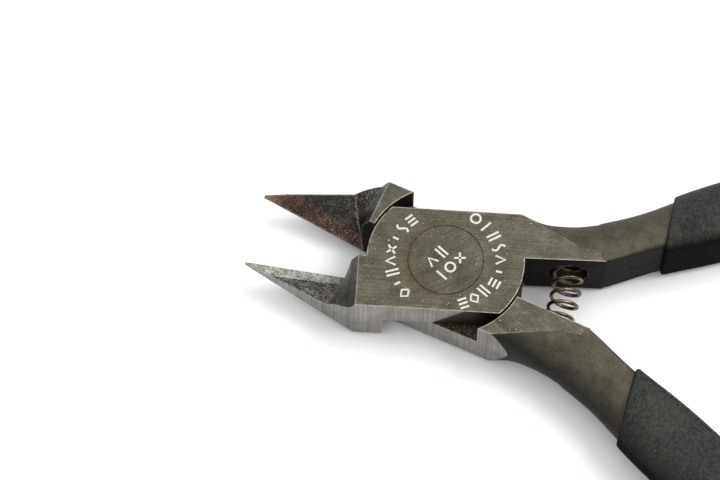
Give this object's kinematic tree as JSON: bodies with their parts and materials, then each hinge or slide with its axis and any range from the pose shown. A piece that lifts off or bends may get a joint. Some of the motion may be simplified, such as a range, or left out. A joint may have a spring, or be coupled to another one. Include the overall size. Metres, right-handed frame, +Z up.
{
  "type": "sprue nippers",
  "caption": "Sprung lap-jointed flush-cutting nippers with slim pointed jaws, a large flush rivet and bowed handles in dipped black sleeves.",
  "frame": {"origin": "on the rivet's axis, at the underside of the joint", "axes": "+Z up along the rivet's axis, -X towards the cutting tips, +X towards the handles, halves symmetric about Y = 0 at rest"},
  "size_m": [0.1159, 0.0746, 0.0101],
  "materials": {
    "forged_steel": "oiled, ground faces brushed, forged faces matt",
    "rivet_steel": "ground flush with the joint",
    "spring_wire": "oil-tempered wire",
    "black_vinyl": "matt dipped vinyl with a fine grain"
  },
  "bodies": {
    "upper": {"upper_half": "forged_steel", "pivot_rivet": "rivet_steel", "upper_grip": "black_vinyl", "return_spring": "spring_wire"},
    "lower": {"lower_half": "forged_steel", "lower_grip": "black_vinyl"}
  },
  "joints": [
    {"name": "jaw_pivot", "type": "hinge", "parent": "upper", "child": "lower", "pos_m": [0, 0, 0.00435], "axis": [0, 0, 1], "range_deg": [0, 21.1], "stiffness_Nm_per_rad": 0.45, "deforming": ["return_spring"]}
  ]
}
